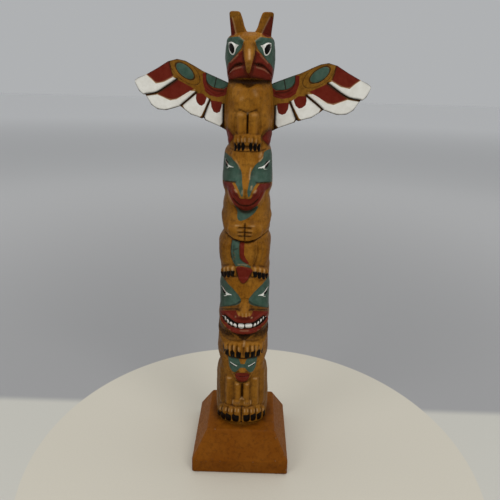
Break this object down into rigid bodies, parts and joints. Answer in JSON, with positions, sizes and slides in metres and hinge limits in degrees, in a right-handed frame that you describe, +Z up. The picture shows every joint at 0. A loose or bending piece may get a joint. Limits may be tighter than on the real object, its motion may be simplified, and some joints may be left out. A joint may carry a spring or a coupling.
{
  "type": "totem pole",
  "caption": "Small painted souvenir totem pole: stacked carved animal figures under an eagle with spread board wings, on a square bevelled plinth.",
  "frame": {"origin": "middle of the plinth's underside", "axes": "+Z up the pole, the figures face -Y, the wings spread along X"},
  "size_m": [0.135, 0.064, 0.2849],
  "materials": {
    "plinth_resin": "satin ochre-brown stain over cast resin, with small pits and worn arrises",
    "pole_resin": "satin ochre stain over cast resin, painted dull green, brick red, white and black",
    "wing_resin": "satin cast resin painted brick red, white and dull green, with dark grooves"
  },
  "bodies": {
    "root": {"plinth": "plinth_resin", "pole": "pole_resin", "left_wing": "wing_resin", "right_wing": "wing_resin"}
  },
  "joints": []
}
